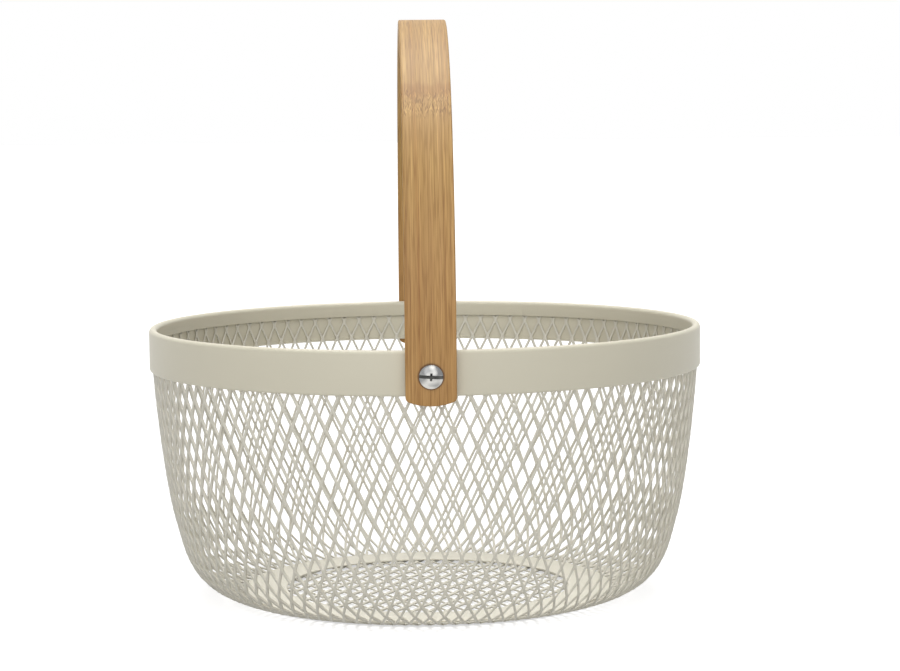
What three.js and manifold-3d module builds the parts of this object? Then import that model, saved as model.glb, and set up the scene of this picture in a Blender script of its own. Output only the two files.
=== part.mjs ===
import * as THREE from 'three';
import { mergeVertices } from 'three/addons/utils/BufferGeometryUtils.js';
import Module from 'manifold-3d';

const wasm = await Module();
wasm.setup();

// A round wire-mesh basket with a swinging bamboo handle, in millimetres.
// The origin is the centre of the base on the surface that it stands on, +Z is up,
// and the handle turns about a line along Y through the two screws.

// Rim band: a steel strip with its top edge folded inwards and down as a flange, and
// its bottom edge rolled inwards
const RIM_RADIUS = 106.5;
const RIM_TOP = 105;
const BAND_HEIGHT = 16.2;
const FLANGE_HEIGHT = 7.5;
const BAND_SHEET = 0.8;
const ROLL_RADIUS = 1.2;

// Wall of expanded steel: a tapered side, a wide corner and a turned-in flat edge
const MESH_THICKNESS = 1.1;
const TAPER_INSET = 1.1;
const TAPER_BOTTOM = 80;
const TAPER_PULL = 74;
const FLAT_RADIUS = 71;
const FLAT_PULL = 14.2;
const MESH_COLUMNS = 44;
const MESH_HALF_ROWS = 8;
const KNUCKLE_WIDTH = 3.6;
const KNUCKLE_HEIGHT = 5.2;

// Base: a flat ring inside on the turned-in edge, and a disc of expanded steel under it
const RING_WIDTH = 17;
const RING_THICKNESS = 1;
const RING_OVERHANG = 1;
const DISC_OVERLAP = 4.5;
const DISC_DIAMOND_LENGTH = 27;
const DISC_DIAMOND_WIDTH = 13;
const DISC_KNUCKLE_LENGTH = 5.2;
const DISC_KNUCKLE_WIDTH = 3.4;

// Handle: one strip of laminated bamboo bent to a half-round arch with short straight legs
const HANDLE_TOP = 222;
const STRIP_WIDTH = 18;
const STRIP_THICKNESS = 3.5;
const STRIP_EDGE = 0.6;
const TAIL_LENGTH = 10.5;
const TAIL_CROWN = 2;

// Fasteners: a pan-head screw outside, threaded into a dome-headed barrel nut inside
const PIVOT_DROP = 8.8;
const SCREW_HEAD_RADIUS = 4.2;
const SCREW_HEAD_HEIGHT = 2;
const SCREW_RADIUS = 1.5;
const SCREW_LENGTH = 6.5;
const SLOT_WIDTH = 1.1;
const SLOT_DEPTH = 0.9;
const CROSS_LENGTH = 3.6;
const NUT_HEAD_RADIUS = 4.2;
const NUT_HEAD_HEIGHT = 1.8;
const BARREL_RADIUS = 2.5;
const BARREL_WALL = 0.7;
const BARREL_SHORTFALL = 0.5;

// Clearances
const SEAT_GAP = 0.3;
const RUNNING_GAP = 0.3;

// Facets
const ROUND_FACETS = 64;
const PIN_FACETS = 20;
const ARCH_FACETS = 14;
const FOLD_FACETS = 2;
const PROFILE_STEPS = 200;

// Places that follow from the sizes above
const pivotHeight = RIM_TOP - PIVOT_DROP;
const channelWidth = MESH_THICKNESS + 2 * SEAT_GAP;
const rimWidth = channelWidth + 2 * BAND_SHEET;
const flangeInner = RIM_RADIUS - rimWidth;
const flangeBottom = RIM_TOP - FLANGE_HEIGHT;
const meshRadius = RIM_RADIUS - BAND_SHEET - SEAT_GAP;
const bandBottom = RIM_TOP - BAND_HEIGHT;
const ringOuter = FLAT_RADIUS + RING_OVERHANG;
const ringHole = ringOuter - RING_WIDTH;
const discRadius = ringHole + DISC_OVERLAP;
const ringBottom = MESH_THICKNESS + SEAT_GAP;
const legInner = RIM_RADIUS + SEAT_GAP;
const legOuter = legInner + STRIP_THICKNESS;
const archCentre = HANDLE_TOP - legOuter;
const screwSeat = legOuter + SEAT_GAP;
const nutSeat = Math.sqrt(flangeInner ** 2 - NUT_HEAD_RADIUS ** 2) - SEAT_GAP;
const boreRadius = BARREL_RADIUS + RUNNING_GAP;

function steelPaint() {
  return new THREE.MeshStandardMaterial({ color: 0xd9d5c3, roughness: 0.45, metalness: 0.1 });
}

function bambooVarnish() {
  return new THREE.MeshStandardMaterial({ color: 0xc49a62, roughness: 0.5, metalness: 0 });
}

function zincPlate() {
  return new THREE.MeshStandardMaterial({ color: 0xbfc2c6, roughness: 0.25, metalness: 1 });
}

// Turns a closed three.js geometry into a solid that can be cut and joined
function toSolid(geometry) {
  const bare = geometry.clone();
  bare.deleteAttribute('normal');
  bare.deleteAttribute('uv');
  const merged = mergeVertices(bare, 1e-4);
  const mesh = new wasm.Mesh({
    numProp: 3,
    vertProperties: new Float32Array(merged.attributes.position.array),
    triVerts: new Uint32Array(merged.index.array),
  });
  return new wasm.Manifold(mesh);
}

function toGeometry(solid) {
  const mesh = solid.getMesh();
  const geometry = new THREE.BufferGeometry();
  geometry.setAttribute('position', new THREE.BufferAttribute(mesh.vertProperties, 3));
  geometry.setIndex(new THREE.BufferAttribute(mesh.triVerts, 1));
  geometry.computeVertexNormals();
  return geometry;
}

// Revolves a closed outline of (radius, height) points about Z
function revolve(outline, facets) {
  const points = outline.map(([radius, height]) => new THREE.Vector2(radius, height));
  points.push(points[0].clone());
  return new THREE.LatheGeometry(points, facets).rotateX(Math.PI / 2);
}

// A round bar along Y through the whole basket at the height of the screws
function pivotBar(radius) {
  const length = 2 * (screwSeat + SCREW_HEAD_HEIGHT);
  return new THREE.CylinderGeometry(radius, radius, length, PIN_FACETS).translate(0, 0, pivotHeight);
}

// Arc points about a centre, from one angle to another
function arc(centreR, centreZ, radius, start, end, facets) {
  return Array.from({ length: facets + 1 }, (_, k) => {
    const angle = start + ((end - start) * k) / facets;
    return [centreR + radius * Math.cos(angle), centreZ + radius * Math.sin(angle)];
  });
}

function rimBand() {
  const foldRadius = rimWidth / 2;
  const foldR = RIM_RADIUS - foldRadius;
  const foldZ = RIM_TOP - foldRadius;
  const rollR = RIM_RADIUS - ROLL_RADIUS;
  const rollZ = bandBottom + ROLL_RADIUS;
  const outline = [
    ...arc(rollR, rollZ, ROLL_RADIUS, -Math.PI / 2, 0, FOLD_FACETS),
    ...arc(foldR, foldZ, foldRadius, 0, Math.PI, FOLD_FACETS * 2),
    [flangeInner, flangeBottom],
    [flangeInner + BAND_SHEET, flangeBottom],
    ...arc(foldR, foldZ, foldRadius - BAND_SHEET, Math.PI, 0, FOLD_FACETS),
    ...arc(rollR, rollZ, ROLL_RADIUS - BAND_SHEET, 0, -Math.PI / 2, 1),
  ];
  const strip = toSolid(revolve(outline, ROUND_FACETS));
  return toGeometry(strip.subtract(toSolid(pivotBar(boreRadius))));
}

// Outer face of the wall, from its top edge inside the rim fold down to the flat edge
function wallProfile() {
  const top = RIM_TOP - rimWidth / 2 - SEAT_GAP;
  const taperTop = new THREE.Vector2(meshRadius, flangeBottom);
  const taperEnd = new THREE.Vector2(meshRadius - TAPER_INSET, TAPER_BOTTOM);
  const down = taperEnd.clone().sub(taperTop).normalize();
  const corner = new THREE.CubicBezierCurve(
    taperEnd,
    taperEnd.clone().addScaledVector(down, TAPER_PULL),
    new THREE.Vector2(FLAT_RADIUS + FLAT_PULL, 0),
    new THREE.Vector2(FLAT_RADIUS, 0),
  );
  const path = new THREE.CurvePath();
  path.add(new THREE.LineCurve(new THREE.Vector2(meshRadius, top), taperTop));
  path.add(new THREE.LineCurve(taperTop, taperEnd));
  path.add(corner);
  return path.getSpacedPoints(PROFILE_STEPS);
}

// Gives flat pattern polygons a thickness: each corner has a front and a back point,
// and every free edge gets a side face
function thicken(polygons, frontOf, backOf) {
  const numbers = new Map();
  const corners = [];
  const number = (key) => {
    if (!numbers.has(key)) {
      numbers.set(key, corners.length);
      corners.push(key);
    }
    return numbers.get(key);
  };
  const faces = polygons.map((polygon) => polygon.map(number));
  const edges = new Set();
  for (const face of faces) {
    face.forEach((a, k) => edges.add(`${a},${face[(k + 1) % face.length]}`));
  }
  const count = corners.length;
  const index = [];
  for (const face of faces) {
    for (let k = 2; k < face.length; k += 1) {
      index.push(face[0], face[k - 1], face[k]);
      index.push(face[0] + count, face[k] + count, face[k - 1] + count);
    }
    face.forEach((a, k) => {
      const b = face[(k + 1) % face.length];
      if (!edges.has(`${b},${a}`)) {
        index.push(a, a + count, b + count);
        index.push(a, b + count, b);
      }
    });
  }
  const points = [...corners.map(frontOf), ...corners.map(backOf)];
  const geometry = new THREE.BufferGeometry().setFromPoints(points);
  geometry.setIndex(index);
  geometry.computeVertexNormals();
  return geometry;
}

// Corner names of the knuckle at (column, row); a knuckle's four tips point along the
// rows and across them, and a diamond hole lies between four knuckles
function knuckle(column, row) {
  return ['right', 'top', 'left', 'bottom'].map((tip) => `${column} ${row} ${tip}`);
}

// The two strands that rise from the knuckle at (column, row) to the next half row
function strands(column, row, columnRight, columnLeft) {
  const [right, top, left] = knuckle(column, row);
  const [, , farLeft, farBottom] = knuckle(columnRight, row + 1);
  const [nearRight, , , nearBottom] = knuckle(columnLeft, row + 1);
  return { right: [right, farBottom, farLeft, top], left: [top, nearRight, nearBottom, left] };
}

// Expanded steel wall: knuckles in staggered half rows round the basket, joined by
// slanting strands, laid on the revolved profile and given the sheet's thickness
function wallMesh() {
  const profile = wallProfile();
  const lengths = [0];
  profile.slice(1).forEach((point, k) => lengths.push(lengths[k] + point.distanceTo(profile[k])));
  const flatEdge = FLAT_RADIUS - discRadius - SEAT_GAP - KNUCKLE_HEIGHT / 2;
  const upper = lengths[lengths.length - 1] - KNUCKLE_HEIGHT / 2;
  const rowLength = upper / MESH_HALF_ROWS;

  const along = (distance) => {
    const total = lengths[lengths.length - 1];
    if (distance >= total) {
      const flat = new THREE.Vector2(FLAT_RADIUS - (distance - total), 0);
      return { point: flat, normal: new THREE.Vector2(0, -1) };
    }
    let k = 1;
    while (lengths[k] < distance) {
      k += 1;
    }
    const share = (distance - lengths[k - 1]) / (lengths[k] - lengths[k - 1]);
    const point = profile[k - 1].clone().lerp(profile[k], share);
    const step = profile[k].clone().sub(profile[k - 1]).normalize();
    return { point, normal: new THREE.Vector2(-step.y, step.x) };
  };

  const rowDistance = (row) => {
    if (row > MESH_HALF_ROWS) {
      return lengths[lengths.length - 1] + flatEdge;
    }
    return KNUCKLE_HEIGHT / 2 + row * rowLength;
  };

  const place = (depth) => (key) => {
    const [column, row, tip] = key.split(' ');
    const alongTip = { top: 1, bottom: -1 }[tip] ?? 0;
    const acrossTip = { right: 1, left: -1 }[tip] ?? 0;
    const distance = rowDistance(Number(row)) + (alongTip * KNUCKLE_HEIGHT) / 2;
    const { point, normal } = along(distance);
    const radius = point.x - depth * normal.x;
    const height = point.y - depth * normal.y;
    const turn = (Number(column) + Number(row) / 2 + 0.5) / MESH_COLUMNS;
    const angle = -turn * 2 * Math.PI - (acrossTip * KNUCKLE_WIDTH) / 2 / point.x;
    return new THREE.Vector3(radius * Math.cos(angle), radius * Math.sin(angle), height);
  };

  const wrap = (column) => (column + MESH_COLUMNS) % MESH_COLUMNS;
  const polygons = [];
  for (let row = 0; row <= MESH_HALF_ROWS + 1; row += 1) {
    for (let column = 0; column < MESH_COLUMNS; column += 1) {
      polygons.push(knuckle(column, row));
      if (row <= MESH_HALF_ROWS) {
        const pair = strands(column, row, column, wrap(column - 1));
        polygons.push(pair.right, pair.left);
      }
    }
  }
  const sheet = toSolid(thicken(polygons, place(0), place(MESH_THICKNESS)));
  return toGeometry(sheet.subtract(toSolid(pivotBar(boreRadius))));
}

// Expanded steel disc: the same pattern laid flat and cut round
function baseMesh() {
  const halfLength = DISC_DIAMOND_LENGTH / 2;
  const rows = Math.ceil(discRadius / halfLength) + 1;
  const columns = Math.ceil(discRadius / DISC_DIAMOND_WIDTH) + 1;
  const centre = (column, row) => {
    const across = (column + Math.abs(row % 2) / 2) * DISC_DIAMOND_WIDTH;
    return new THREE.Vector2(across, row * halfLength);
  };
  const inside = (column, row) => centre(column, row).length() < discRadius - DISC_KNUCKLE_WIDTH;

  const polygons = [];
  const used = new Set();
  for (let row = -rows; row <= rows; row += 1) {
    for (let column = -columns; column <= columns; column += 1) {
      const odd = Math.abs(row % 2);
      const toRight = column + odd;
      const toLeft = column + odd - 1;
      const pair = strands(column, row, toRight, toLeft);
      if (inside(column, row) || inside(toRight, row + 1)) {
        polygons.push(pair.right);
        used.add(`${column} ${row}`).add(`${toRight} ${row + 1}`);
      }
      if (inside(column, row) || inside(toLeft, row + 1)) {
        polygons.push(pair.left);
        used.add(`${column} ${row}`).add(`${toLeft} ${row + 1}`);
      }
    }
  }
  for (const name of used) {
    polygons.push(knuckle(...name.split(' ')));
  }

  const place = (height) => (key) => {
    const [column, row, tip] = key.split(' ');
    const alongTip = { top: 1, bottom: -1 }[tip] ?? 0;
    const acrossTip = { right: 1, left: -1 }[tip] ?? 0;
    const middle = centre(Number(column), Number(row));
    const x = middle.x + (acrossTip * DISC_KNUCKLE_WIDTH) / 2;
    const y = middle.y + (alongTip * DISC_KNUCKLE_LENGTH) / 2;
    return new THREE.Vector3(x, y, height);
  };
  const sheet = toSolid(thicken(polygons, place(MESH_THICKNESS), place(0)));
  const cutter = new THREE.CylinderGeometry(discRadius, discRadius, 4 * MESH_THICKNESS, ROUND_FACETS);
  return toGeometry(sheet.intersect(toSolid(cutter.rotateX(Math.PI / 2))));
}

function baseRing() {
  const top = ringBottom + RING_THICKNESS;
  const outline = [
    [ringHole, ringBottom],
    [ringOuter, ringBottom],
    [ringOuter, top],
    [ringHole, top],
  ];
  return revolve(outline, ROUND_FACETS);
}

// The bent strip seen from the side, in (Y, Z), at a depth below its outer face
function stripEdge(shape, depth, forwards) {
  const half = legOuter - depth;
  const foot = pivotHeight - TAIL_LENGTH;
  if (forwards) {
    shape.moveTo(half, foot);
    shape.absarc(0, archCentre, half, 0, Math.PI, false);
    shape.lineTo(-half, foot);
  } else {
    shape.lineTo(-half, foot);
    shape.absarc(0, archCentre, half, Math.PI, 0, true);
    shape.lineTo(half, foot);
  }
}

// The strip seen from the front, in (X, Z): straight sides and crowned lower ends
function tailOutline() {
  const half = STRIP_WIDTH / 2;
  const foot = pivotHeight - TAIL_LENGTH;
  const radius = (half ** 2 + TAIL_CROWN ** 2) / (2 * TAIL_CROWN);
  const spread = Math.asin(half / radius);
  const outline = new THREE.Shape();
  outline.moveTo(half, HANDLE_TOP + 1);
  outline.lineTo(-half, HANDLE_TOP + 1);
  outline.absarc(0, foot + radius, radius, -Math.PI / 2 - spread, -Math.PI / 2 + spread, false);
  return outline;
}

function handle() {
  const side = new THREE.Shape();
  stripEdge(side, 0, true);
  stripEdge(side, STRIP_THICKNESS, false);
  const strip = new THREE.ExtrudeGeometry(side, {
    depth: STRIP_WIDTH - 2 * STRIP_EDGE,
    curveSegments: ARCH_FACETS,
    bevelEnabled: true,
    bevelThickness: STRIP_EDGE,
    bevelSize: STRIP_EDGE,
    bevelOffset: -STRIP_EDGE,
    bevelSegments: 1,
  });
  strip.translate(0, 0, STRIP_EDGE - STRIP_WIDTH / 2);
  const alongX = new THREE.Vector3(1, 0, 0);
  const alongY = new THREE.Vector3(0, 1, 0);
  const alongZ = new THREE.Vector3(0, 0, 1);
  strip.applyMatrix4(new THREE.Matrix4().makeBasis(alongY, alongZ, alongX));

  const reach = 2 * (legOuter + 1);
  const front = new THREE.ExtrudeGeometry(tailOutline(), { depth: reach, bevelEnabled: false });
  front.rotateX(Math.PI / 2).translate(0, reach / 2, 0);
  const shaped = toSolid(strip).intersect(toSolid(front));
  return toGeometry(shaped.subtract(toSolid(pivotBar(boreRadius))));
}

// Dome-headed barrel nut along +Z, with the head's underside at z = 0
function barrelNut() {
  const length = legOuter - BARREL_SHORTFALL - nutSeat;
  const edge = NUT_HEAD_HEIGHT / 3;
  const bore = BARREL_RADIUS - BARREL_WALL;
  const domeRadius = (NUT_HEAD_RADIUS ** 2 + (NUT_HEAD_HEIGHT - edge) ** 2) / (2 * (NUT_HEAD_HEIGHT - edge));
  const spread = Math.asin(NUT_HEAD_RADIUS / domeRadius);
  const dome = arc(0, domeRadius - NUT_HEAD_HEIGHT, domeRadius, -Math.PI / 2, -Math.PI / 2 + spread, 3);
  dome[0][0] = 0;
  const outline = [
    ...dome,
    [NUT_HEAD_RADIUS, 0],
    [BARREL_RADIUS, 0],
    [BARREL_RADIUS, length],
    [bore, length],
    [bore, SEAT_GAP],
    [0, SEAT_GAP],
  ];
  return revolve(outline, PIN_FACETS);
}

// Pan-head screw along +Z, with the head's underside at z = 0 and the shank below it
function panScrew() {
  const edge = SCREW_HEAD_HEIGHT / 3;
  const rise = SCREW_HEAD_HEIGHT - edge;
  const domeRadius = (SCREW_HEAD_RADIUS ** 2 + rise ** 2) / (2 * rise);
  const spread = Math.asin(SCREW_HEAD_RADIUS / domeRadius);
  const centre = SCREW_HEAD_HEIGHT - domeRadius;
  const dome = arc(0, centre, domeRadius, Math.PI / 2 - spread, Math.PI / 2, 3);
  dome[dome.length - 1][0] = 0;
  const outline = [
    [0, -SCREW_LENGTH],
    [SCREW_RADIUS, -SCREW_LENGTH],
    [SCREW_RADIUS, 0],
    [SCREW_HEAD_RADIUS, 0],
    ...dome,
  ];
  const blank = toSolid(revolve(outline, PIN_FACETS));
  const slotFloor = SCREW_HEAD_HEIGHT - SLOT_DEPTH;
  const slot = new THREE.BoxGeometry(3 * SCREW_HEAD_RADIUS, SLOT_WIDTH, SCREW_HEAD_HEIGHT);
  slot.translate(0, 0, slotFloor + SCREW_HEAD_HEIGHT / 2);
  const cross = new THREE.BoxGeometry(SLOT_WIDTH, CROSS_LENGTH, SCREW_HEAD_HEIGHT);
  cross.translate(0, 0, slotFloor + SCREW_HEAD_HEIGHT / 2);
  return toGeometry(blank.subtract(toSolid(slot)).subtract(toSolid(cross)));
}

function piece(name, geometry, material) {
  const mesh = new THREE.Mesh(geometry, material);
  mesh.name = name;
  return mesh;
}

// Places a fastener at one end of the pivot line: side is -1 in front and 1 behind
function fastener(name, geometry, side, distance) {
  const mesh = piece(name, geometry, zincPlate());
  mesh.position.set(0, side * distance, pivotHeight);
  mesh.rotation.x = (-side * Math.PI) / 2;
  return mesh;
}

const basket = new THREE.Group();
basket.add(piece('rim_band', rimBand(), steelPaint()));
basket.add(piece('wall_mesh', wallMesh(), steelPaint()));
basket.add(piece('base_ring', baseRing(), steelPaint()));
basket.add(piece('base_mesh', baseMesh(), steelPaint()));
basket.add(piece('handle', handle(), bambooVarnish()));

const fasteners = new THREE.Group();
for (const [end, side] of [['front', -1], ['rear', 1]]) {
  fasteners.add(fastener(`${end}_screw`, panScrew(), side, screwSeat));
  fasteners.add(fastener(`${end}_barrel_nut`, barrelNut(), side, nutSeat));
}
basket.add(fasteners);

export default basket;
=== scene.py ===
import math

import bpy
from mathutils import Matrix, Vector
from mathutils.geometry import interpolate_bezier


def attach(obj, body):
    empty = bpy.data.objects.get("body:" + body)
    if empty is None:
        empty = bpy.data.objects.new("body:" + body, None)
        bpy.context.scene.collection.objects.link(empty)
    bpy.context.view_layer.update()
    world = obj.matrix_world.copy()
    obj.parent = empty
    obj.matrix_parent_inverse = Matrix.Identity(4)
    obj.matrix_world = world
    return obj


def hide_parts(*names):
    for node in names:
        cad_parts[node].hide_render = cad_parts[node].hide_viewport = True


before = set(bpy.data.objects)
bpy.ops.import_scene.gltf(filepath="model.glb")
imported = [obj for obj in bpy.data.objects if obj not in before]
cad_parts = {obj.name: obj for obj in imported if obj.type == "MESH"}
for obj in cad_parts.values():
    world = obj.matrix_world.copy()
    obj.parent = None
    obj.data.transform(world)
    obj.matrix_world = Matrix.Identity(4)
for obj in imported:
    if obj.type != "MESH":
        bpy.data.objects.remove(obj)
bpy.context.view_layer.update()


# Rim band: a strip of sheet steel bent to a hoop and powder coated. Its top edge is folded
# inwards over the mesh and down as a flange that leans towards it, its bottom edge is rolled
# inwards, and its two ends are welded edge to edge behind, to the right of the rear screw.
RIM_RADIUS = 0.1065
RIM_TOP = 0.105
BAND_BOTTOM = 0.0888
FLANGE_BOTTOM = 0.0990
FLANGE_LEAN = 0.0006
FOLD_RADIUS = 0.0015
ROLL_RADIUS = 0.0010
BAND_SHEET = 0.0007
BAND_STEPS = 192
SEAM_STEP = 35
SEAM_WIDTH = 0.0004
SEAM_DEPTH = 0.0001
SEAM_REACH = 1e-4
SHEET_EDGE = 0.0002
MERGE_REACH = 1e-6
CREAM = (0.660, 0.622, 0.495)


def same(first, second):
    return abs(first - second) < MERGE_REACH


def start_section(name, radius, height):
    """A single point of a section, in edit mode, that is drawn on from there"""
    bpy.ops.object.select_all(action='DESELECT')
    bpy.ops.mesh.primitive_plane_add(size=0.001, location=(0, 0, 0))
    piece = bpy.context.object
    piece.name = name
    piece.data.name = name
    bpy.ops.object.mode_set(mode='EDIT')
    bpy.ops.mesh.select_mode(type='VERT')
    bpy.ops.mesh.merge(type='CENTER')
    bpy.ops.transform.translate(value=(radius, 0, height))
    return piece


def draw_on(outwards, upwards):
    bpy.ops.mesh.extrude_region_move(TRANSFORM_OT_translate={"value": (outwards, 0, upwards)})


def curve_on(radius, height, degrees, steps):
    bpy.ops.mesh.spin(steps=steps, angle=math.radians(degrees), center=(radius, 0, height),
                      axis=(0, 1, 0))


def turn_section(steps):
    """Turns the drawn section round the Z axis to a closed body"""
    bpy.ops.mesh.select_all(action='SELECT')
    bpy.ops.mesh.spin(steps=steps, angle=2 * math.pi, center=(0, 0, 0), axis=(0, 0, 1))
    bpy.ops.mesh.select_all(action='SELECT')
    bpy.ops.mesh.remove_doubles(threshold=MERGE_REACH)
    bpy.ops.mesh.normals_make_consistent(inside=False)
    bpy.ops.object.mode_set(mode='OBJECT')


def select_where(piece, kind, wanted):
    """Selects the vertices, edges or faces whose corners lie as wanted, in edit mode"""
    bpy.ops.object.mode_set(mode='EDIT')
    bpy.ops.mesh.select_mode(type=kind)
    bpy.ops.mesh.select_all(action='DESELECT')
    bpy.ops.object.mode_set(mode='OBJECT')
    corners = piece.data.vertices
    if kind == 'VERT':
        for vertex in corners:
            vertex.select = wanted(vertex.co)
    else:
        for part in piece.data.edges if kind == 'EDGE' else piece.data.polygons:
            part.select = wanted(*(corners[k].co for k in part.vertices))
    bpy.ops.object.mode_set(mode='EDIT')


def finish_with(piece, kind, **settings):
    modifier = piece.modifiers.new(kind.lower(), kind)
    for setting, value in settings.items():
        setattr(modifier, setting, value)
    bpy.ops.object.select_all(action='DESELECT')
    piece.select_set(True)
    bpy.context.view_layer.objects.active = piece
    bpy.ops.object.modifier_apply(modifier=modifier.name)


band = start_section("formed_rim_band", RIM_RADIUS - ROLL_RADIUS, BAND_BOTTOM)
curve_on(RIM_RADIUS - ROLL_RADIUS, BAND_BOTTOM + ROLL_RADIUS, degrees=90, steps=5)
draw_on(0, RIM_TOP - FOLD_RADIUS - BAND_BOTTOM - ROLL_RADIUS)
curve_on(RIM_RADIUS - FOLD_RADIUS, RIM_TOP - FOLD_RADIUS, degrees=180, steps=12)
draw_on(FLANGE_LEAN, FLANGE_BOTTOM - RIM_TOP + FOLD_RADIUS)
turn_section(BAND_STEPS)

seam_turn = 2 * math.pi * SEAM_STEP / BAND_STEPS


def on_seam(co):
    return abs(math.atan2(co.y, co.x) - seam_turn) < SEAM_REACH


select_where(band, 'VERT', on_seam)
bpy.ops.mesh.bevel(offset=SEAM_WIDTH, segments=2, affect='EDGES')
select_where(band, 'VERT', on_seam)
bpy.ops.transform.shrink_fatten(value=-SEAM_DEPTH)
bpy.ops.object.mode_set(mode='OBJECT')
finish_with(band, 'SOLIDIFY', thickness=BAND_SHEET, offset=-1, use_even_offset=True)
finish_with(band, 'BEVEL', width=SHEET_EDGE, segments=2, limit_method='ANGLE',
            angle_limit=math.radians(60))
bpy.ops.object.shade_smooth_by_angle(angle=math.radians(40))


SURFACE_OUTPUTS = (("Base Color", 'NodeSocketColor'), ("Roughness", 'NodeSocketFloat'),
                   ("Normal", 'NodeSocketVector'))


def new_group(name, inputs):
    """An empty node group that gives a coat's colour, roughness and fine relief"""
    group = bpy.data.node_groups.new(name, 'ShaderNodeTree')
    for socket, kind, value in inputs:
        made = group.interface.new_socket(name=socket, in_out='INPUT', socket_type=kind)
        made.default_value = value
    for socket, kind in SURFACE_OUTPUTS:
        group.interface.new_socket(name=socket, in_out='OUTPUT', socket_type=kind)
    entry = group.nodes.new('NodeGroupInput')
    leave = group.nodes.new('NodeGroupOutput')
    return group, entry, leave


def add_node(tree, kind, settings=None, **values):
    node = tree.nodes.new(kind)
    for setting, value in (settings or {}).items():
        setattr(node, setting, value)
    for socket, value in values.items():
        node.inputs[socket.replace('_', ' ')].default_value = value
    return node


def powder_coat_group():
    group, entry, leave = new_group("powder_coat_surface", [
        ("Colour", 'NodeSocketColor', (0.8, 0.8, 0.8, 1)),
        ("Peel Size", 'NodeSocketFloat', 900.0), ("Peel Depth", 'NodeSocketFloat', 0.00002),
        ("Mottle", 'NodeSocketFloat', 0.03)])
    place = add_node(group, 'ShaderNodeTexCoord')
    peel = add_node(group, 'ShaderNodeTexNoise', Detail=2.0, Roughness=0.5)
    grain = add_node(group, 'ShaderNodeTexNoise', Scale=5200.0, Detail=1.0)
    cloud = add_node(group, 'ShaderNodeTexNoise', Scale=38.0, Detail=3.0)
    height = add_node(group, 'ShaderNodeMath', {"operation": 'MULTIPLY_ADD'})
    height.inputs[1].default_value = 0.25
    bump = add_node(group, 'ShaderNodeBump', Strength=1.0)
    spread = add_node(group, 'ShaderNodeMath', {"operation": 'SUBTRACT'})
    spread.inputs[1].default_value = 0.5
    shade = add_node(group, 'ShaderNodeMath', {"operation": 'MULTIPLY_ADD'})
    shade.inputs[2].default_value = 1.0
    tint = add_node(group, 'ShaderNodeMix', {"data_type": 'RGBA', "blend_type": 'MULTIPLY'})
    tint.inputs[0].default_value = 1.0
    gloss = add_node(group, 'ShaderNodeMapRange', To_Min=0.36, To_Max=0.5)
    link = group.links.new
    for texture in (peel, grain, cloud):
        link(place.outputs['Object'], texture.inputs['Vector'])
    link(entry.outputs['Peel Size'], peel.inputs['Scale'])
    link(grain.outputs['Fac'], height.inputs[0])
    link(peel.outputs['Fac'], height.inputs[2])
    link(height.outputs[0], bump.inputs['Height'])
    link(entry.outputs['Peel Depth'], bump.inputs['Distance'])
    link(cloud.outputs['Fac'], spread.inputs[0])
    link(spread.outputs[0], shade.inputs[0])
    link(entry.outputs['Mottle'], shade.inputs[1])
    link(entry.outputs['Colour'], tint.inputs[6])
    link(shade.outputs[0], tint.inputs[7])
    link(peel.outputs['Fac'], gloss.inputs['Value'])
    link(tint.outputs[2], leave.inputs['Base Color'])
    link(gloss.outputs[0], leave.inputs['Roughness'])
    link(bump.outputs[0], leave.inputs['Normal'])
    return group


def new_material(name, **values):
    material = bpy.data.materials.new(name)
    material.use_nodes = True
    shader = material.node_tree.nodes['Principled BSDF']
    for socket, value in values.items():
        shader.inputs[socket.replace('_', ' ')].default_value = value
    return material, material.node_tree, shader


def coated(material, tree, shader, group, **values):
    """Lays a surface group over a new material, with this material's own values"""
    surface = add_node(tree, 'ShaderNodeGroup', {"node_tree": group}, **values)
    for socket, kind in SURFACE_OUTPUTS:
        tree.links.new(surface.outputs[socket], shader.inputs[socket])
    return material


def cream_coat(name, colour, peel_size, peel_depth, mottle):
    return coated(*new_material(name), powder_coat, Colour=(*colour, 1), Peel_Size=peel_size,
                  Peel_Depth=peel_depth, Mottle=mottle)


powder_coat = powder_coat_group()
band.data.materials.append(cream_coat("cream_band_coat", CREAM, peel_size=900.0,
                                      peel_depth=0.00002, mottle=0.04))
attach(band, "basket")
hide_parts("rim_band")


# Wall: one sheet of expanded steel, slit and stretched into tall diamonds, rolled to a drum
# and pressed to a wide corner whose edge turns in flat under the base ring. The stretching
# twists the strands a little out of the sheet, and behind the band it is pressed thin.
MESH_COLUMNS = 101
MESH_ROWS = 24
HALF_ROW = 0.00678
MESH_SHEET = 0.0008
MESH_MIDDLE = 0.00055
PRESSED_MIDDLE = 0.00025
PRESSED_SHARE = 0.5
PRESSED_RISE = 0.003
MESH_TURN = -0.030
MESH_DROP = -0.0007
MESH_SKEW = 0.2
STRAND_WIDTH = 0.00087
STRAND_EDGE = 0.00016
STRAND_TWIST = 0.00015
HOLE_CORNER = 0.00045
BORDER_SHARE = 0.999
WALL_RADIUS = 0.1057
WALL_TOP = 0.1030
TAPER_TOP = 0.0975
TAPER_PULL = 0.0133
CORNER = Vector((0.09746, 0.030, 0))
CORNER_LEAN = Vector((0.2891, 0.9573, 0))
CORNER_PULL = 0.0110
FLAT_PULL = 0.0293
FLAT_RADIUS = 0.064
FLAT_EDGE = 0.0602
EDGE_RISE = 0.00045
LINE_POINTS = 160
NET_REACH = 5e-6
MESH_CREAM = (0.690, 0.662, 0.570)

half_column = math.pi * WALL_RADIUS / MESH_COLUMNS


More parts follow.
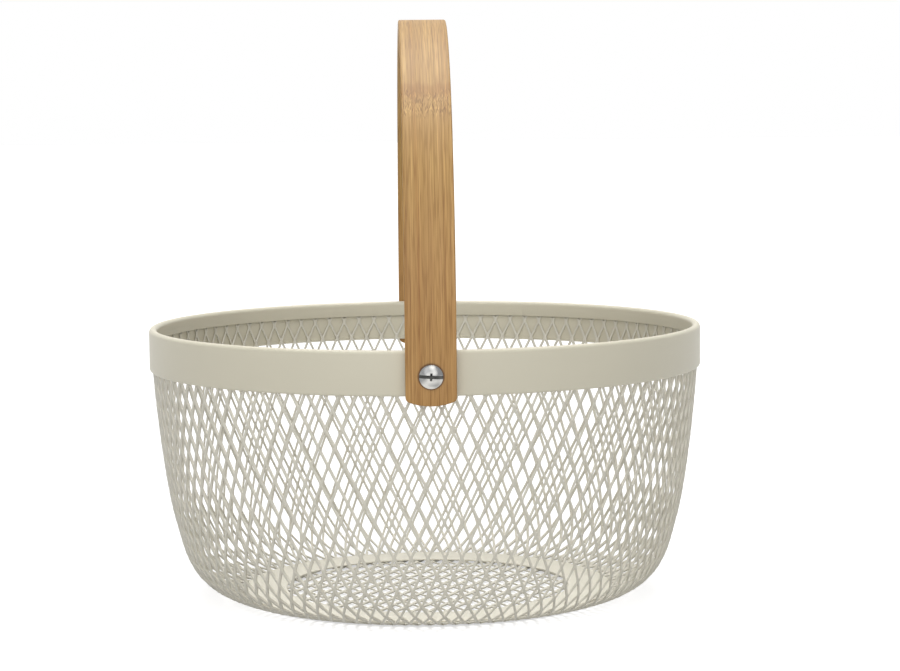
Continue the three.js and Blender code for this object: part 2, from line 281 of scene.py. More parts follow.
def diamond_cell(name):
    """One diamond hole with the halves of the four strands round it, in the sheet's plane"""
    strand_share = STRAND_WIDTH / 2 * math.hypot(1 / half_column, 1 / HALF_ROW)
    bpy.ops.object.select_all(action='DESELECT')
    bpy.ops.mesh.primitive_circle_add(vertices=4, radius=1, fill_type='NOTHING')
    cell = bpy.context.object
    cell.name = name
    cell.data.name = name
    bpy.ops.object.mode_set(mode='EDIT')
    bpy.ops.mesh.select_mode(type='VERT')
    bpy.ops.mesh.select_all(action='SELECT')
    bpy.ops.transform.resize(value=(half_column * (1 - strand_share),
                                    HALF_ROW * (1 - strand_share), 1))
    bpy.ops.mesh.bevel(offset=HOLE_CORNER, segments=1, affect='VERTICES')
    bpy.ops.mesh.primitive_circle_add(vertices=4, radius=1, fill_type='NOTHING')
    bpy.ops.transform.resize(value=(half_column, HALF_ROW, 1))
    bpy.ops.mesh.select_all(action='SELECT')
    bpy.ops.mesh.bridge_edge_loops()
    bpy.ops.mesh.select_all(action='SELECT')
    bpy.ops.mesh.normals_make_consistent(inside=False)
    bpy.ops.object.mode_set(mode='OBJECT')
    finish_with(cell, 'SOLIDIFY', thickness=MESH_SHEET, offset=0)

    def on_border(co):
        return abs(co.x) / half_column + abs(co.y) / HALF_ROW > BORDER_SHARE

    def round_the_hole(first, second):
        level = same(first.z, second.z)
        return level and not on_border(first) and not on_border(second)

    select_where(cell, 'FACE', lambda *corners: all(on_border(co) for co in corners))
    bpy.ops.mesh.delete(type='FACE')
    select_where(cell, 'EDGE', round_the_hole)
    bpy.ops.mesh.bevel(offset=STRAND_EDGE, segments=1, affect='EDGES')
    bpy.ops.mesh.select_mode(type='VERT')
    bpy.ops.mesh.select_all(action='SELECT')
    bpy.ops.mesh.duplicate_move(TRANSFORM_OT_translate={"value": (half_column, HALF_ROW, 0)})
    bpy.ops.object.mode_set(mode='OBJECT')
    return cell


def repeat_cell(cell, columns, rows):
    """Lays the cell out as a net of so many diamonds across and half rows along"""
    finish_with(cell, 'ARRAY', count=columns, use_relative_offset=False,
                use_constant_offset=True, constant_offset_displace=(2 * half_column, 0, 0))
    finish_with(cell, 'ARRAY', count=rows // 2, use_relative_offset=False,
                use_constant_offset=True, constant_offset_displace=(0, 2 * HALF_ROW, 0))
    bpy.ops.object.mode_set(mode='EDIT')
    bpy.ops.mesh.select_all(action='SELECT')
    bpy.ops.mesh.remove_doubles(threshold=NET_REACH)
    bpy.ops.object.mode_set(mode='OBJECT')


def nearest_hole(x, y):
    """A point's distances across and along from the middle of the hole nearest to it"""
    choices = []
    for shift in (0, 1):
        across = x / half_column - shift
        along = y / HALF_ROW - shift
        across -= 2 * round(across / 2)
        along -= 2 * round(along / 2)
        choices.append((abs(across) + abs(along), across * half_column, along * HALF_ROW))
    return min(choices)[1:]


def strand_twist(across, line):
    """How far a point beside a strand's middle line stands out of the sheet"""
    if abs(line) < 1e-7:
        return 0
    share = max(-1, min(1, across / abs(line)))
    return 4 * STRAND_TWIST * share * (1 - abs(share))


taper_start = Vector((WALL_RADIUS, TAPER_TOP, 0))
wall_line = [Vector((WALL_RADIUS, WALL_TOP, 0))]
wall_line += interpolate_bezier(taper_start, taper_start - Vector((0, TAPER_PULL, 0)),
                                CORNER + CORNER_LEAN * TAPER_PULL, CORNER, LINE_POINTS)
wall_line += interpolate_bezier(CORNER, CORNER - CORNER_LEAN * CORNER_PULL,
                                Vector((FLAT_RADIUS + FLAT_PULL, 0, 0)),
                                Vector((FLAT_RADIUS, 0, 0)), LINE_POINTS)[1:]
wall_line.append(Vector((FLAT_EDGE, EDGE_RISE, 0)))
wall_reach = [0]
for upper, lower in zip(wall_line, wall_line[1:]):
    wall_reach.append(wall_reach[-1] + (lower - upper).length)


def wall_at(distance):
    """Outer face of the wall, and its outward direction, at a distance from the top edge"""
    k = 1
    while k < len(wall_reach) - 1 and wall_reach[k] < distance:
        k += 1
    upper, lower = wall_line[k - 1], wall_line[k]
    share = (distance - wall_reach[k - 1]) / (wall_reach[k] - wall_reach[k - 1])
    step = (lower - upper).normalized()
    return upper.lerp(lower, share), Vector((-step.y, step.x, 0))


wall = diamond_cell("formed_wall_mesh")
repeat_cell(wall, MESH_COLUMNS, MESH_ROWS)
net_top = (MESH_ROWS - 2) * HALF_ROW + MESH_DROP
net_bottom = net_top - wall_reach[-1]
for height, side in ((net_top, 1), (net_bottom, -1)):
    bpy.ops.object.mode_set(mode='EDIT')
    bpy.ops.mesh.select_all(action='SELECT')
    bpy.ops.mesh.bisect(plane_co=(0, height, 0), plane_no=(0, side, 0), clear_outer=True)
    bpy.ops.object.mode_set(mode='OBJECT')

around = 2 * math.pi / (MESH_COLUMNS * 2 * half_column)
for vertex in wall.data.vertices:
    x, y, depth = vertex.co
    across, along = nearest_hole(x, y)
    line = half_column * (1 - abs(along) / HALF_ROW)
    beside = 0 if same(across, 0) else across - math.copysign(line, across)
    face, outwards = wall_at(net_top - y)
    pressed = min(1, max(0, (face.y - BAND_BOTTOM) / PRESSED_RISE))
    depth = (depth + strand_twist(across, line)) * (1 - pressed * (1 - PRESSED_SHARE))
    middle = MESH_MIDDLE + pressed * (PRESSED_MIDDLE - MESH_MIDDLE)
    place = face + outwards * (depth - middle)
    turn = (x - beside) * around + beside / face.x + MESH_TURN - math.pi / 2
    turn += (net_top - y) * MESH_SKEW
    vertex.co = (place.x * math.cos(turn), place.x * math.sin(turn), place.y)
bpy.ops.object.mode_set(mode='EDIT')
bpy.ops.mesh.select_all(action='SELECT')
bpy.ops.mesh.remove_doubles(threshold=NET_REACH)
bpy.ops.mesh.select_all(action='SELECT')
bpy.ops.mesh.fill_holes(sides=0)
bpy.ops.mesh.select_all(action='SELECT')
bpy.ops.mesh.normals_make_consistent(inside=False)
bpy.ops.object.mode_set(mode='OBJECT')
bpy.ops.object.shade_smooth()
mesh_coat = cream_coat("cream_mesh_coat", MESH_CREAM, peel_size=1400.0, peel_depth=0.00001,
                       mottle=0.06)
wall.data.materials.append(mesh_coat)
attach(wall, "basket")
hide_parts("wall_mesh")


# Base disc: the same expanded steel left flat and cut round, its diamonds long from front
# to back. It lies inside the wall's turned-in edge and is welded to the ring above it.
DISC_RADIUS = 0.0595
DISC_MIDDLE = 0.0010
DISC_COLUMNS = 22
DISC_ROWS = 22
DISC_STEPS = 128

disc = diamond_cell("formed_base_mesh")
repeat_cell(disc, DISC_COLUMNS, DISC_ROWS)
bpy.ops.object.mode_set(mode='EDIT')
bpy.ops.mesh.select_mode(type='EDGE')
bpy.ops.mesh.select_all(action='DESELECT')
bpy.ops.mesh.select_non_manifold(use_wire=False, use_boundary=True, use_multi_face=False,
                                 use_non_contiguous=False, use_verts=False)
bpy.ops.mesh.bridge_edge_loops()
bpy.ops.mesh.select_mode(type='VERT')
bpy.ops.mesh.select_all(action='SELECT')
bpy.ops.mesh.normals_make_consistent(inside=False)
bpy.ops.object.mode_set(mode='OBJECT')
middle_column = 2 * (DISC_COLUMNS // 2) * half_column
middle_row = 2 * (DISC_ROWS // 4) * HALF_ROW
for vertex in disc.data.vertices:
    x, y, depth = vertex.co
    across, along = nearest_hole(x, y)
    line = half_column * (1 - abs(along) / HALF_ROW)
    height = DISC_MIDDLE + depth + strand_twist(across, line)
    vertex.co = (x - middle_column, y - middle_row, height)
bpy.ops.object.select_all(action='DESELECT')
bpy.ops.mesh.primitive_cylinder_add(vertices=DISC_STEPS, radius=DISC_RADIUS, depth=0.01)
cutter = bpy.context.object
finish_with(disc, 'BOOLEAN', object=cutter, operation='INTERSECT', solver='EXACT')
bpy.data.objects.remove(cutter)
bpy.ops.object.shade_smooth()
disc.data.materials.append(mesh_coat)
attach(disc, "basket")
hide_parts("base_mesh")


# Base ring: a flat steel washer inside the basket that ties the wall's turned-in edge to the
# base disc. Its edges are rounded by the blanking and the coat.
RING_HOLE = 0.055
RING_OUTER = 0.0715
RING_BOTTOM = 0.00156
RING_SHEET = 0.0006
RING_STEPS = 160
# The ring's cream is the band's coat painted lighter: painted overhead light on the ring
RING_CREAM_WITH_PAINTED_LIGHT = (0.728, 0.698, 0.592)

ring = start_section("formed_base_ring", RING_HOLE, RING_BOTTOM)
draw_on(RING_OUTER - RING_HOLE, 0)
draw_on(0, RING_SHEET)
draw_on(RING_HOLE - RING_OUTER, 0)
draw_on(0, -RING_SHEET)
turn_section(RING_STEPS)
finish_with(ring, 'BEVEL', width=SHEET_EDGE, segments=3, limit_method='ANGLE',
            angle_limit=math.radians(40))
bpy.ops.object.shade_smooth_by_angle(angle=math.radians(35))
# The ring's coat is painted lighter than the band's, as painted light from overhead
ring.data.materials.append(cream_coat("cream_ring_coat_painted_lighter", RING_CREAM_WITH_PAINTED_LIGHT, peel_size=900.0,
                                      peel_depth=0.00002, mottle=0.03))
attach(ring, "basket")
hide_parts("base_ring")


# Handle: one strip of laminated bamboo bent hot to a half-round arch with short straight
# legs, sanded, varnished and bored for the two screws. Its lower ends are crowned with
# rounded corners, and one bamboo joint crosses it near the top of the front half.
HANDLE_TOP = 0.222
LEG_OUTER = 0.1103
STRIP_WIDTH = 0.018
STRIP_THICKNESS = 0.0035
TAIL_BOTTOM = 0.0857
TAIL_CROWN = 0.0019
TAIL_BAND = 0.004
TAIL_CORNER = 0.0012
TAIL_REACH = 1e-5
STRIP_EDGE = 0.0006
STRIP_COLUMNS = 8
ARCH_STEPS = 72
PIVOT_HEIGHT = 0.0962
BORE_RADIUS = 0.0028
BORE_STEPS = 48
DRILL_LENGTH = 0.25
JOINT_SHADE = -0.0775
JOINT_FLECKS = -0.0838
JOINT_WANDER = 0.008
# Dark ring on the wood round each screw head: the wood pressed under the head, and painted
# contact shadow under its edge
HEAD_PRESS_AND_SHADOW_RADIUS = 0.0043
BROAD_TONES = ((0.30, (0.392, 0.187, 0.049)), (0.44, (0.402, 0.211, 0.060)),
               (0.58, (0.417, 0.222, 0.066)), (0.72, (0.447, 0.239, 0.078)))
FIBRE_TONES = ((0.30, (0.66, 0.57, 0.42)), (0.43, (0.94, 0.92, 0.88)),
               (0.56, (1.02, 1.03, 1.04)), (0.70, (1.30, 1.38, 1.55)))
DASH_TONES = ((0.34, (0.74, 0.67, 0.55)), (0.46, (1.0, 1.0, 1.0)), (0.66, (1.14, 1.18, 1.26)))
STROKE_TONES = ((0.57, (1.0, 1.0, 1.0)), (0.68, (1.36, 1.46, 1.66)))
PIT_TONES = ((0.35, (0.58, 0.50, 0.40)), (0.44, (1.0, 1.0, 1.0)))
JOINT_TONE = (0.84, 0.75, 0.63)
# Painted sheen: tint that makes the top of the arch paler, standing in for the varnish
# reflecting the overhead lamp
PAINTED_SHEEN_TONE = (0.98, 1.06, 1.06)
HEAD_PRESS_AND_SHADOW_TONE = (0.42, 0.36, 0.30)

arch_centre = HANDLE_TOP - LEG_OUTER
bpy.ops.object.select_all(action='DESELECT')
bpy.ops.mesh.primitive_plane_add(size=1, location=(0, 0, 0))
strip = bpy.context.object
strip.name = "bent_bamboo_handle"
strip.data.name = "bent_bamboo_handle"
bpy.ops.object.mode_set(mode='EDIT')
bpy.ops.transform.resize(value=(STRIP_WIDTH, STRIP_THICKNESS, 1))
bpy.ops.transform.translate(value=(0, STRIP_THICKNESS / 2 - LEG_OUTER, TAIL_BOTTOM))
select_where(strip, 'EDGE', lambda first, second: same(first.y, second.y))
bpy.ops.mesh.subdivide(number_cuts=STRIP_COLUMNS - 1)
bpy.ops.mesh.select_mode(type='FACE')
bpy.ops.mesh.select_all(action='SELECT')
leg_rise = arch_centre - TAIL_BOTTOM - TAIL_BAND
for rise in (TAIL_BAND, leg_rise):
    draw_on(0, rise)
bpy.ops.mesh.spin(steps=ARCH_STEPS, angle=math.pi, center=(0, 0, arch_centre), axis=(1, 0, 0))
for drop in (leg_rise, TAIL_BAND):
    draw_on(0, -drop)
bpy.ops.mesh.select_all(action='SELECT')
bpy.ops.mesh.remove_doubles(threshold=MERGE_REACH)
bpy.ops.mesh.normals_make_consistent(inside=False)
bpy.ops.object.mode_set(mode='OBJECT')
crown_radius = (STRIP_WIDTH ** 2 / 4 + TAIL_CROWN ** 2) / (2 * TAIL_CROWN)
for vertex in strip.data.vertices:
    if same(vertex.co.z, TAIL_BOTTOM):
        vertex.co.z += crown_radius - math.sqrt(crown_radius ** 2 - vertex.co.x ** 2)


def at_tail_corner(first, second):
    low = max(first.z, second.z) < TAIL_BOTTOM + TAIL_CROWN + TAIL_REACH
    return low and min(abs(first.x), abs(second.x)) > STRIP_WIDTH / 2 - TAIL_REACH


select_where(strip, 'EDGE', at_tail_corner)
bpy.ops.mesh.bevel(offset=TAIL_CORNER, segments=4, affect='EDGES')
bpy.ops.object.mode_set(mode='OBJECT')
finish_with(strip, 'BEVEL', width=STRIP_EDGE, segments=3, limit_method='ANGLE',
            angle_limit=math.radians(45))
bpy.ops.object.select_all(action='DESELECT')
bpy.ops.mesh.primitive_cylinder_add(vertices=BORE_STEPS, radius=BORE_RADIUS,
                                    depth=DRILL_LENGTH, location=(0, 0, PIVOT_HEIGHT),
                                    rotation=(math.pi / 2, 0, 0))
drill = bpy.context.object
finish_with(strip, 'BOOLEAN', object=drill, operation='DIFFERENCE', solver='EXACT')
bpy.data.objects.remove(drill)
bpy.ops.object.shade_smooth_by_angle(angle=math.radians(35))

grain = strip.data.attributes.new("grain", 'FLOAT_VECTOR', 'POINT')
middle_radius = LEG_OUTER - STRIP_THICKNESS / 2
quarter_arch = middle_radius * math.pi / 2
for vertex, value in zip(strip.data.vertices, grain.data):
    x, y, z = vertex.co
    if z > arch_centre:
        reach = math.hypot(y, z - arch_centre)
        along = middle_radius * math.atan2(y, z - arch_centre)
    else:
        reach = abs(y)
        along = math.copysign(quarter_arch + arch_centre - z, y)
    value.vector = (x, along, LEG_OUTER - reach)


def bamboo_material():
    material, tree, shader = new_material("varnished_bamboo")
    link = tree.links.new
    place = add_node(tree, 'ShaderNodeAttribute', {"attribute_name": "grain"})

    def streaks(across, along, detail=2.0):
        """Noise with so many streaks a metre across the grain and along it"""
        stretch = add_node(tree, 'ShaderNodeMapping')
        stretch.inputs['Scale'].default_value = (across, along, across)
        noise = add_node(tree, 'ShaderNodeTexNoise', Scale=1.0, Detail=detail, Roughness=0.5)
        link(place.outputs['Vector'], stretch.inputs['Vector'])
        link(stretch.outputs[0], noise.inputs['Vector'])
        return noise.outputs['Fac']

    def ramp(value, stops):
        node = add_node(tree, 'ShaderNodeValToRGB')
        elements = node.color_ramp.elements
        while len(elements) < len(stops):
            elements.new(0.5)
        for element, (position, colour) in zip(elements, stops):
            element.position = position
            element.color = (*colour, 1)
        link(value, node.inputs['Fac'])
        return node.outputs['Color']

    def maths(operation, *values):
        node = add_node(tree, 'ShaderNodeMath', {"operation": operation})
        for socket, value in zip(node.inputs, values):
            if isinstance(value, (int, float)):
                socket.default_value = value
            else:
                link(value, socket)
        return node.outputs[0]

    def blend(factor, first, second, kind='MIX'):
        node = add_node(tree, 'ShaderNodeMix', {"data_type": 'RGBA', "blend_type": kind})
        for socket, value in ((node.inputs[0], factor), (node.inputs[6], first),
                              (node.inputs[7], second)):
            if isinstance(value, (int, float)):
                socket.default_value = value
            elif isinstance(value, tuple):
                socket.default_value = (*value, 1)
            else:
                link(value, socket)
        return node.outputs[2]

    def slanted(degrees, across, along):
        """The same noise, its streaks turned off the grain"""
        turned = add_node(tree, 'ShaderNodeMapping', {"vector_type": 'TEXTURE'})
        turned.inputs['Rotation'].default_value = (0, 0, math.radians(degrees))
        turned.inputs['Scale'].default_value = (1 / across, 1 / along, 1 / across)
        noise = add_node(tree, 'ShaderNodeTexNoise', Scale=1.0, Detail=1.0)
        link(place.outputs['Vector'], turned.inputs['Vector'])
        link(turned.outputs[0], noise.inputs['Vector'])
        return noise.outputs['Fac']

    def crossed(choice, degrees, across, along):
        return maths(choice, slanted(degrees, across, along), slanted(-degrees, across, along))

    def tinted(colour, tone):
        return blend(1.0, colour, tone, 'MULTIPLY')

    def near(distance, middle, inner, outer):
        """1 within the inner distance of the middle, falling to 0 at the outer one"""
        away = maths('ABSOLUTE', maths('SUBTRACT', distance, middle))
        node = add_node(tree, 'ShaderNodeMapRange', {"interpolation_type": 'SMOOTHSTEP'},
                        From_Min=outer, From_Max=inner)
        link(away, node.inputs['Value'])
        return node.outputs[0]

    broad = ramp(streaks(across=330.0, along=4.0), BROAD_TONES)
    fibre = ramp(streaks(across=1500.0, along=11.0), FIBRE_TONES)
    dash = ramp(streaks(across=2100.0, along=75.0, detail=1.0), DASH_TONES)
    colour = blend(0.8, tinted(broad, fibre), dash, 'MULTIPLY')

    split = add_node(tree, 'ShaderNodeSeparateXYZ')
    link(place.outputs['Vector'], split.inputs[0])
    wander = maths('MULTIPLY_ADD', streaks(across=420.0, along=60.0), JOINT_WANDER,
                   -JOINT_WANDER / 2)
    along = maths('ADD', split.outputs['Y'], wander)
    shaded = near(along, JOINT_SHADE, inner=0.0015, outer=0.0055)
    colour = blend(maths('MULTIPLY', shaded, 0.9), colour, tinted(colour, JOINT_TONE))
    # Painted sheen: the top of the arch is tinted paler and less saturated, as the overhead
    # lamp's reflection in the varnish
    painted_sheen = near(split.outputs['Y'], 0.0, inner=0.105, outer=0.165)
    colour = blend(painted_sheen, colour, tinted(colour, PAINTED_SHEEN_TONE))
    flecked = near(along, JOINT_FLECKS, inner=0.0030, outer=0.0085)
    strokes = ramp(crossed('MAXIMUM', degrees=12, across=1650.0, along=230.0), STROKE_TONES)
    pits = ramp(crossed('MINIMUM', degrees=9, across=1750.0, along=250.0), PIT_TONES)
    colour = blend(flecked, colour, tinted(tinted(colour, strokes), pits))

    # Darkens a thin ring round each screw head: the pressed wood there, and a painted contact
    # shadow under the head's edge
    above_screw = maths('SUBTRACT', maths('ABSOLUTE', split.outputs['Y']),
                        quarter_arch + arch_centre - PIVOT_HEIGHT)
    beside_screw = maths('POWER', split.outputs['X'], 2)
    from_screw = maths('POWER', maths('ADD', maths('POWER', above_screw, 2), beside_screw), 0.5)
    head_press_and_shadow = near(from_screw, HEAD_PRESS_AND_SHADOW_RADIUS, inner=0.0001, outer=0.0007)
    colour = blend(head_press_and_shadow, colour, tinted(colour, HEAD_PRESS_AND_SHADOW_TONE))
    link(colour, shader.inputs['Base Color'])

    rough = add_node(tree, 'ShaderNodeMapRange', To_Min=0.42, To_Max=0.60)
    link(streaks(across=2600.0, along=22.0), rough.inputs['Value'])
    link(rough.outputs[0], shader.inputs['Roughness'])
    bump = add_node(tree, 'ShaderNodeBump', Strength=1.0, Distance=0.00003)
    link(streaks(across=3000.0, along=30.0, detail=3.0), bump.inputs['Height'])
    link(bump.outputs[0], shader.inputs['Normal'])
    return material


strip.data.materials.append(bamboo_material())
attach(strip, "handle")
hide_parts("handle")


# Screws: zinc-plated steel with a low domed head, a straight slot across it and a small cross
# recess in the middle. Each goes through the handle into the barrel nut behind the rim.
SCREW_HEAD_RADIUS = 0.0042
SCREW_HEAD_HEIGHT = 0.0019
SCREW_EDGE = 0.0006
SCREW_RADIUS = 0.0015
SCREW_LENGTH = 0.0065
SCREW_SEAT = 0.1106
HEAD_STEPS = 64
SLOT_LENGTH = 0.02
SLOT_WIDTH = 0.0011
SLOT_DEPTH = 0.0013
CROSS_WIDTH = 0.0008
CROSS_LENGTH = 0.0027
CROSS_DEPTH = 0.0008
SLOT_EDGE = 0.0001


def dome_on(rim_radius, rise, steps, upwards=1):
    """Carries a section from the rim of a domed head in to its middle"""
    radius = (rim_radius ** 2 + rise ** 2) / (2 * rise)
    spread = math.asin(rim_radius / radius)
    for k in range(steps):
        before = spread * (1 - k / steps)
        after = spread * (1 - (k + 1) / steps)
        draw_on(radius * (math.sin(after) - math.sin(before)),
                upwards * radius * (math.cos(after) - math.cos(before)))


def cut_slot(piece, length, across, depth, turn):
    """Cuts a straight recess into the head, its faces in a dark plate that is painted shade
    inside it
    """
    bpy.ops.object.select_all(action='DESELECT')
    bpy.ops.mesh.primitive_cube_add(
        size=1, location=(0, 0, 2 * SCREW_HEAD_HEIGHT - depth), rotation=(0, 0, turn),
        scale=(length, across, 2 * SCREW_HEAD_HEIGHT))
    cutter = bpy.context.object
    cutter.data.materials.append(recess)
    finish_with(piece, 'BOOLEAN', object=cutter, operation='DIFFERENCE', solver='EXACT',
                material_mode='TRANSFER')
    bpy.data.objects.remove(cutter)


def put_in_place(piece, side, distance):
    """Lays a piece turned about Z along the handle's axis, its top outwards"""
    bpy.ops.object.select_all(action='DESELECT')
    piece.select_set(True)
    bpy.context.view_layer.objects.active = piece
    piece.rotation_euler = (-side * math.pi / 2, 0, 0)
    piece.location = (0, side * distance, PIVOT_HEIGHT)
    bpy.ops.object.transform_apply(location=True, rotation=True, scale=True)


def zinc_plate_group():
    group, entry, leave = new_group("zinc_mottle_and_painted_reflection_surface", [
        ("Dark", 'NodeSocketColor', (0.2, 0.2, 0.2, 1)),
        ("Pale", 'NodeSocketColor', (0.6, 0.6, 0.6, 1)),
        ("Smooth", 'NodeSocketFloat', 0.2), ("Rough", 'NodeSocketFloat', 0.4)])
    place = add_node(group, 'ShaderNodeTexCoord')
    # Patches between the dark and pale colours: the plating's own mottling together with
    # painted reflections on the domed heads
    mottle_and_reflection_patch = add_node(group, 'ShaderNodeTexNoise', Scale=240.0, Detail=1.0)
    fine = add_node(group, 'ShaderNodeTexNoise', Scale=5000.0, Detail=2.0)
    share = add_node(group, 'ShaderNodeMapRange', From_Min=0.36, From_Max=0.64)
    tone = add_node(group, 'ShaderNodeMix', {"data_type": 'RGBA'})
    dullness = add_node(group, 'ShaderNodeMapRange')
    bump = add_node(group, 'ShaderNodeBump', Strength=1.0, Distance=0.000002)
    link = group.links.new
    for texture in (mottle_and_reflection_patch, fine):
        link(place.outputs['Object'], texture.inputs['Vector'])
    link(mottle_and_reflection_patch.outputs['Fac'], share.inputs['Value'])
    link(share.outputs[0], tone.inputs[0])
    link(entry.outputs['Dark'], tone.inputs[6])
    link(entry.outputs['Pale'], tone.inputs[7])
    link(fine.outputs['Fac'], dullness.inputs['Value'])
    link(entry.outputs['Smooth'], dullness.inputs['To Min'])
    link(entry.outputs['Rough'], dullness.inputs['To Max'])
    link(fine.outputs['Fac'], bump.inputs['Height'])
    link(tone.outputs[2], leave.inputs['Base Color'])
    link(dullness.outputs[0], leave.inputs['Roughness'])
    link(bump.outputs[0], leave.inputs['Normal'])
    return group


def zinc_plate(name, dark, pale, smooth, rough):
    return coated(*new_material(name, Metallic=1.0), zinc_surface, Dark=(*dark, 1),
                  Pale=(*pale, 1), Smooth=smooth, Rough=rough)


zinc_surface = zinc_plate_group()
# The zinc's pale and dark patches are partly painted reflections, partly the plating's mottle
zinc = zinc_plate("zinc_plate_with_painted_reflections", dark=(0.20, 0.20, 0.20), pale=(0.58, 0.57, 0.54),
                  smooth=0.16, rough=0.30)
# The recess plate is dark as painted shade inside the slot and the cross
recess = zinc_plate("painted_shade_recess_plate", dark=(0.05, 0.05, 0.047),
                    pale=(0.15, 0.147, 0.138), smooth=0.45, rough=0.65)
for end, side, slot_turn in (("front", -1, -3), ("rear", 1, 38)):
    screw = start_section(f"domed_{end}_screw", 0, -SCREW_LENGTH)
    draw_on(SCREW_RADIUS, 0)
    draw_on(0, SCREW_LENGTH)
    draw_on(SCREW_HEAD_RADIUS - SCREW_RADIUS, 0)
    draw_on(0, SCREW_EDGE)
    dome_on(SCREW_HEAD_RADIUS, SCREW_HEAD_HEIGHT - SCREW_EDGE, steps=10)
    turn_section(HEAD_STEPS)
    screw.data.materials.append(zinc)
    cut_slot(screw, SLOT_LENGTH, SLOT_WIDTH, SLOT_DEPTH, math.radians(slot_turn))
    cut_slot(screw, CROSS_WIDTH, CROSS_LENGTH, CROSS_DEPTH, math.radians(slot_turn))
    finish_with(screw, 'BEVEL', width=SLOT_EDGE, segments=2, limit_method='ANGLE',
                angle_limit=math.radians(40))
    bpy.ops.object.shade_smooth_by_angle(angle=math.radians(35))
    put_in_place(screw, side, SCREW_SEAT)
    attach(screw, "basket")
    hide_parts(f"{end}_screw")


# Barrel nuts: zinc-plated steel with a low domed head inside the basket and a plain barrel,
# threaded inside, that passes out through the mesh, the band and the handle as its pin.
NUT_HEAD_RADIUS = 0.0042
NUT_HEAD_HEIGHT = 0.0018
NUT_EDGE = 0.0006
NUT_SEAT = 0.1037
BARREL_RADIUS = 0.0025
BARREL_BORE = 0.0018
BARREL_LENGTH = 0.0061
BORE_END = 0.0003
BARREL_EDGE = 0.00012

for end, side in (("front", -1), ("rear", 1)):
    nut = start_section(f"domed_{end}_barrel_nut", 0, BORE_END)
    draw_on(BARREL_BORE, 0)
    draw_on(0, BARREL_LENGTH - BORE_END)
    draw_on(BARREL_RADIUS - BARREL_BORE, 0)
    draw_on(0, -BARREL_LENGTH)
    draw_on(NUT_HEAD_RADIUS - BARREL_RADIUS, 0)
    draw_on(0, -NUT_EDGE)
    dome_on(NUT_HEAD_RADIUS, NUT_HEAD_HEIGHT - NUT_EDGE, steps=8, upwards=-1)
    turn_section(HEAD_STEPS)
    finish_with(nut, 'BEVEL', width=BARREL_EDGE, segments=2, limit_method='ANGLE',
                angle_limit=math.radians(40))
    bpy.ops.object.shade_smooth_by_angle(angle=math.radians(35))
    put_in_place(nut, side, NUT_SEAT)
    nut.data.materials.append(zinc)
    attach(nut, "basket")
    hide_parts(f"{end}_barrel_nut")


# Floor: a wide pale sheet just under the basket. It glows only to the eye and in mirrored
# views, so that it reads white and adds no light.
FLOOR_SIZE = 16
FLOOR_DROP = 0.0001
FLOOR_TONE = (0.54, 0.54, 0.54, 1)
FLOOR_GLOW = 0.60


def seen_by_eye(tree):
    """1 for what is looked at, straight, mirrored or through glass, and 0 for lighting"""
    path = add_node(tree, 'ShaderNodeLightPath')
    straight = add_node(tree, 'ShaderNodeMath', {"operation": 'MAXIMUM'})
    through = add_node(tree, 'ShaderNodeMath', {"operation": 'MAXIMUM'})
    tree.links.new(path.outputs['Is Camera Ray'], straight.inputs[0])
    tree.links.new(path.outputs['Is Glossy Ray'], straight.inputs[1])
    tree.links.new(straight.outputs[0], through.inputs[0])
    tree.links.new(path.outputs['Is Transmission Ray'], through.inputs[1])
    return through.outputs[0]


bpy.ops.object.select_all(action='DESELECT')
bpy.ops.mesh.primitive_plane_add(size=FLOOR_SIZE, location=(0, 0, -FLOOR_DROP))
floor = bpy.context.object
floor.name = "pale_floor"
floor_paint, floor_tree, floor_shader = new_material("pale_floor_paint", Roughness=0.9,
                                                     Specular_IOR_Level=0.1,
                                                     Base_Color=FLOOR_TONE,
                                                     Emission_Color=(1, 1, 1, 1))
floor_glow = add_node(floor_tree, 'ShaderNodeMapRange', To_Min=0.0, To_Max=FLOOR_GLOW)
floor_tree.links.new(seen_by_eye(floor_tree), floor_glow.inputs['Value'])
floor_tree.links.new(floor_glow.outputs[0], floor_shader.inputs['Emission Strength'])
floor.data.materials.append(floor_paint)


# Light: a soft lamp overhead and a little behind, one in front, weaker ones to the left and
# right, and an even pale surround
LAMP_HEIGHT = 1.5
SURROUND_LIGHT = 0.06
SURROUND_SEEN = 1.0


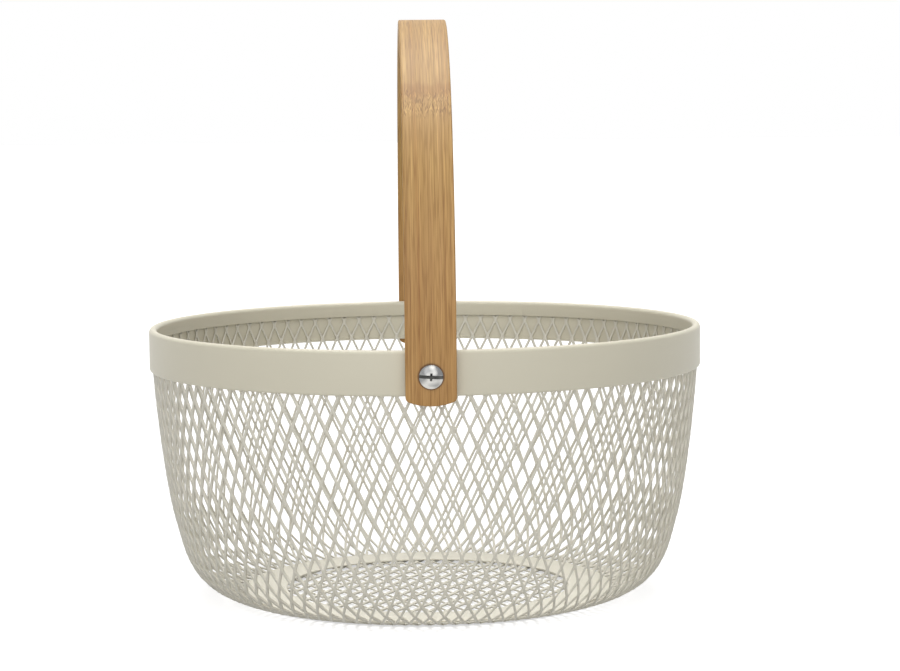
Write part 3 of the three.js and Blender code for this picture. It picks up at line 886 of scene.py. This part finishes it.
def softbox(name, tilt, turn, energy, spread):
    """A wide soft lamp, tilted from overhead towards the camera and turned about the basket"""
    bpy.ops.object.light_add(type='SUN', location=(0, 0, LAMP_HEIGHT),
                             rotation=(math.radians(tilt), 0, math.radians(turn)))
    lamp = bpy.context.object
    lamp.name = name
    lamp.data.name = name
    lamp.data.energy = energy
    lamp.data.angle = math.radians(spread)


softbox("overhead_softbox", tilt=-13, turn=0, energy=2.74, spread=52)
softbox("front_softbox", tilt=65, turn=-1, energy=1.46, spread=70)
softbox("left_softbox", tilt=60, turn=-50, energy=0.36, spread=60)
softbox("right_softbox", tilt=60, turn=60, energy=0.13, spread=60)

surround = bpy.data.worlds.new("pale_surround")
bpy.context.scene.world = surround
surround.use_nodes = True
sky = surround.node_tree
sky.nodes.clear()
light = add_node(sky, 'ShaderNodeBackground', Color=(1, 1, 1, 1), Strength=SURROUND_LIGHT)
white = add_node(sky, 'ShaderNodeBackground', Color=(1, 1, 1, 1), Strength=SURROUND_SEEN)
choice = add_node(sky, 'ShaderNodeMixShader')
output = add_node(sky, 'ShaderNodeOutputWorld')
sky.links.new(seen_by_eye(sky), choice.inputs[0])
sky.links.new(light.outputs[0], choice.inputs[1])
sky.links.new(white.outputs[0], choice.inputs[2])
sky.links.new(choice.outputs[0], output.inputs['Surface'])


# Camera: a long lens a little above the rim, with the near end of the handle's axis turned
# slightly to the right
CAMERA_PLACE = (-0.01871, -1.01988, 0.1974)
CAMERA_TURN = (84.546, 0.565, -1.654)
LENS = 105.45
SENSOR_WIDTH = 36

camera_data = bpy.data.cameras.new("photo_camera")
camera_data.lens = LENS
camera_data.sensor_width = SENSOR_WIDTH
camera_data.sensor_fit = 'HORIZONTAL'
camera = bpy.data.objects.new("photo_camera", camera_data)
bpy.context.collection.objects.link(camera)
camera.location = CAMERA_PLACE
camera.rotation_euler = [math.radians(angle) for angle in CAMERA_TURN]
bpy.context.scene.camera = camera
bpy.context.scene.view_settings.view_transform = 'Standard'
